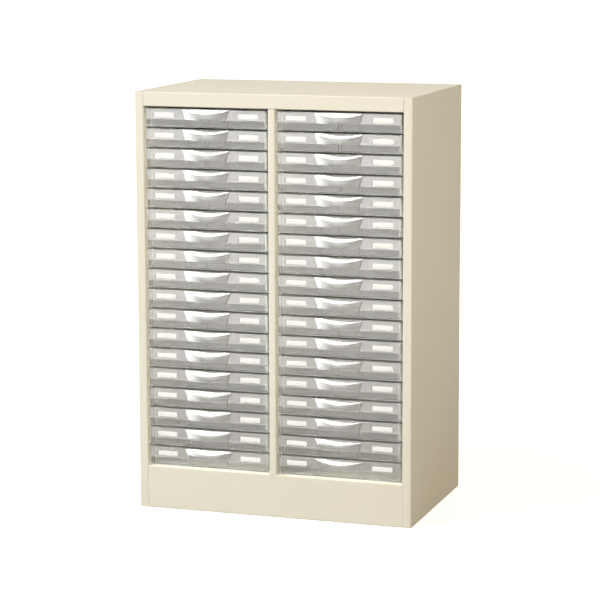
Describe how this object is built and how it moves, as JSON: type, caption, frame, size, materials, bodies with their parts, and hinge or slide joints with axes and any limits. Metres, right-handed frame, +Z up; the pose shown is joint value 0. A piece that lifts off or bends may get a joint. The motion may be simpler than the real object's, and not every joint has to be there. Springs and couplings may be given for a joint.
{
  "type": "document drawer cabinet",
  "caption": "Floor-standing document cabinet: an ivory folded-steel case with two columns of shallow clear plastic drawers on steel angle runners, each with a hooded pull and label cards.",
  "frame": {"origin": "on the floor, under the middle of the overall box", "axes": "+Z up, -Y out of the front, +X to the right as seen from the front"},
  "size_m": [0.596, 0.3894, 0.88],
  "materials": {
    "ivory_steel": "satin powder coat",
    "runner_steel": "satin paint",
    "screw_steel": "zinc plate",
    "clear_plastic": "moulded clear, slightly grey"
  },
  "bodies": {
    "cabinet": {"left_side_panel": "ivory_steel", "right_side_panel": "ivory_steel", "top_panel": "ivory_steel", "kick_plate": "ivory_steel", "bottom_panel": "ivory_steel", "back_panel": "ivory_steel", "centre_partition": "ivory_steel", "back_panel_screws": "screw_steel", "left_outer_uprights": "ivory_steel", "left_inner_uprights": "ivory_steel", "right_outer_uprights": "ivory_steel", "right_inner_uprights": "ivory_steel", "left_outer_runners": "runner_steel", "left_inner_runners": "runner_steel", "right_outer_runners": "runner_steel", "right_inner_runners": "runner_steel"},
    "drawer_left_01": {"drawer_left_01": "clear_plastic"},
    "drawer_left_02": {"drawer_left_02": "clear_plastic"},
    "drawer_left_03": {"drawer_left_03": "clear_plastic"},
    "drawer_left_04": {"drawer_left_04": "clear_plastic"},
    "drawer_left_05": {"drawer_left_05": "clear_plastic"},
    "drawer_left_06": {"drawer_left_06": "clear_plastic"},
    "drawer_left_07": {"drawer_left_07": "clear_plastic"},
    "drawer_left_08": {"drawer_left_08": "clear_plastic"},
    "drawer_left_09": {"drawer_left_09": "clear_plastic"},
    "drawer_left_10": {"drawer_left_10": "clear_plastic"},
    "drawer_left_11": {"drawer_left_11": "clear_plastic"},
    "drawer_left_12": {"drawer_left_12": "clear_plastic"},
    "drawer_left_13": {"drawer_left_13": "clear_plastic"},
    "drawer_left_14": {"drawer_left_14": "clear_plastic"},
    "drawer_left_15": {"drawer_left_15": "clear_plastic"},
    "drawer_left_16": {"drawer_left_16": "clear_plastic"},
    "drawer_left_17": {"drawer_left_17": "clear_plastic"},
    "drawer_left_18": {"drawer_left_18": "clear_plastic"},
    "drawer_right_01": {"drawer_right_01": "clear_plastic"},
    "drawer_right_02": {"drawer_right_02": "clear_plastic"},
    "drawer_right_03": {"drawer_right_03": "clear_plastic"},
    "drawer_right_04": {"drawer_right_04": "clear_plastic"},
    "drawer_right_05": {"drawer_right_05": "clear_plastic"},
    "drawer_right_06": {"drawer_right_06": "clear_plastic"},
    "drawer_right_07": {"drawer_right_07": "clear_plastic"},
    "drawer_right_08": {"drawer_right_08": "clear_plastic"},
    "drawer_right_09": {"drawer_right_09": "clear_plastic"},
    "drawer_right_10": {"drawer_right_10": "clear_plastic"},
    "drawer_right_11": {"drawer_right_11": "clear_plastic"},
    "drawer_right_12": {"drawer_right_12": "clear_plastic"},
    "drawer_right_13": {"drawer_right_13": "clear_plastic"},
    "drawer_right_14": {"drawer_right_14": "clear_plastic"},
    "drawer_right_15": {"drawer_right_15": "clear_plastic"},
    "drawer_right_16": {"drawer_right_16": "clear_plastic"},
    "drawer_right_17": {"drawer_right_17": "clear_plastic"},
    "drawer_right_18": {"drawer_right_18": "clear_plastic"}
  },
  "joints": [
    {"name": "drawer_left_01_slide", "type": "slide", "parent": "cabinet", "child": "drawer_left_01", "axis": [0, -1, 0], "range_m": [0, 0.25]},
    {"name": "drawer_left_02_slide", "type": "slide", "parent": "cabinet", "child": "drawer_left_02", "axis": [0, -1, 0], "range_m": [0, 0.25]},
    {"name": "drawer_left_03_slide", "type": "slide", "parent": "cabinet", "child": "drawer_left_03", "axis": [0, -1, 0], "range_m": [0, 0.25]},
    {"name": "drawer_left_04_slide", "type": "slide", "parent": "cabinet", "child": "drawer_left_04", "axis": [0, -1, 0], "range_m": [0, 0.25]},
    {"name": "drawer_left_05_slide", "type": "slide", "parent": "cabinet", "child": "drawer_left_05", "axis": [0, -1, 0], "range_m": [0, 0.25]},
    {"name": "drawer_left_06_slide", "type": "slide", "parent": "cabinet", "child": "drawer_left_06", "axis": [0, -1, 0], "range_m": [0, 0.25]},
    {"name": "drawer_left_07_slide", "type": "slide", "parent": "cabinet", "child": "drawer_left_07", "axis": [0, -1, 0], "range_m": [0, 0.25]},
    {"name": "drawer_left_08_slide", "type": "slide", "parent": "cabinet", "child": "drawer_left_08", "axis": [0, -1, 0], "range_m": [0, 0.25]},
    {"name": "drawer_left_09_slide", "type": "slide", "parent": "cabinet", "child": "drawer_left_09", "axis": [0, -1, 0], "range_m": [0, 0.25]},
    {"name": "drawer_left_10_slide", "type": "slide", "parent": "cabinet", "child": "drawer_left_10", "axis": [0, -1, 0], "range_m": [0, 0.25]},
    {"name": "drawer_left_11_slide", "type": "slide", "parent": "cabinet", "child": "drawer_left_11", "axis": [0, -1, 0], "range_m": [0, 0.25]},
    {"name": "drawer_left_12_slide", "type": "slide", "parent": "cabinet", "child": "drawer_left_12", "axis": [0, -1, 0], "range_m": [0, 0.25]},
    {"name": "drawer_left_13_slide", "type": "slide", "parent": "cabinet", "child": "drawer_left_13", "axis": [0, -1, 0], "range_m": [0, 0.25]},
    {"name": "drawer_left_14_slide", "type": "slide", "parent": "cabinet", "child": "drawer_left_14", "axis": [0, -1, 0], "range_m": [0, 0.25]},
    {"name": "drawer_left_15_slide", "type": "slide", "parent": "cabinet", "child": "drawer_left_15", "axis": [0, -1, 0], "range_m": [0, 0.25]},
    {"name": "drawer_left_16_slide", "type": "slide", "parent": "cabinet", "child": "drawer_left_16", "axis": [0, -1, 0], "range_m": [0, 0.25]},
    {"name": "drawer_left_17_slide", "type": "slide", "parent": "cabinet", "child": "drawer_left_17", "axis": [0, -1, 0], "range_m": [0, 0.25]},
    {"name": "drawer_left_18_slide", "type": "slide", "parent": "cabinet", "child": "drawer_left_18", "axis": [0, -1, 0], "range_m": [0, 0.25]},
    {"name": "drawer_right_01_slide", "type": "slide", "parent": "cabinet", "child": "drawer_right_01", "axis": [0, -1, 0], "range_m": [0, 0.25]},
    {"name": "drawer_right_02_slide", "type": "slide", "parent": "cabinet", "child": "drawer_right_02", "axis": [0, -1, 0], "range_m": [0, 0.25]},
    {"name": "drawer_right_03_slide", "type": "slide", "parent": "cabinet", "child": "drawer_right_03", "axis": [0, -1, 0], "range_m": [0, 0.25]},
    {"name": "drawer_right_04_slide", "type": "slide", "parent": "cabinet", "child": "drawer_right_04", "axis": [0, -1, 0], "range_m": [0, 0.25]},
    {"name": "drawer_right_05_slide", "type": "slide", "parent": "cabinet", "child": "drawer_right_05", "axis": [0, -1, 0], "range_m": [0, 0.25]},
    {"name": "drawer_right_06_slide", "type": "slide", "parent": "cabinet", "child": "drawer_right_06", "axis": [0, -1, 0], "range_m": [0, 0.25]},
    {"name": "drawer_right_07_slide", "type": "slide", "parent": "cabinet", "child": "drawer_right_07", "axis": [0, -1, 0], "range_m": [0, 0.25]},
    {"name": "drawer_right_08_slide", "type": "slide", "parent": "cabinet", "child": "drawer_right_08", "axis": [0, -1, 0], "range_m": [0, 0.25]},
    {"name": "drawer_right_09_slide", "type": "slide", "parent": "cabinet", "child": "drawer_right_09", "axis": [0, -1, 0], "range_m": [0, 0.25]},
    {"name": "drawer_right_10_slide", "type": "slide", "parent": "cabinet", "child": "drawer_right_10", "axis": [0, -1, 0], "range_m": [0, 0.25]},
    {"name": "drawer_right_11_slide", "type": "slide", "parent": "cabinet", "child": "drawer_right_11", "axis": [0, -1, 0], "range_m": [0, 0.25]},
    {"name": "drawer_right_12_slide", "type": "slide", "parent": "cabinet", "child": "drawer_right_12", "axis": [0, -1, 0], "range_m": [0, 0.25]},
    {"name": "drawer_right_13_slide", "type": "slide", "parent": "cabinet", "child": "drawer_right_13", "axis": [0, -1, 0], "range_m": [0, 0.25]},
    {"name": "drawer_right_14_slide", "type": "slide", "parent": "cabinet", "child": "drawer_right_14", "axis": [0, -1, 0], "range_m": [0, 0.25]},
    {"name": "drawer_right_15_slide", "type": "slide", "parent": "cabinet", "child": "drawer_right_15", "axis": [0, -1, 0], "range_m": [0, 0.25]},
    {"name": "drawer_right_16_slide", "type": "slide", "parent": "cabinet", "child": "drawer_right_16", "axis": [0, -1, 0], "range_m": [0, 0.25]},
    {"name": "drawer_right_17_slide", "type": "slide", "parent": "cabinet", "child": "drawer_right_17", "axis": [0, -1, 0], "range_m": [0, 0.25]},
    {"name": "drawer_right_18_slide", "type": "slide", "parent": "cabinet", "child": "drawer_right_18", "axis": [0, -1, 0], "range_m": [0, 0.25]}
  ]
}
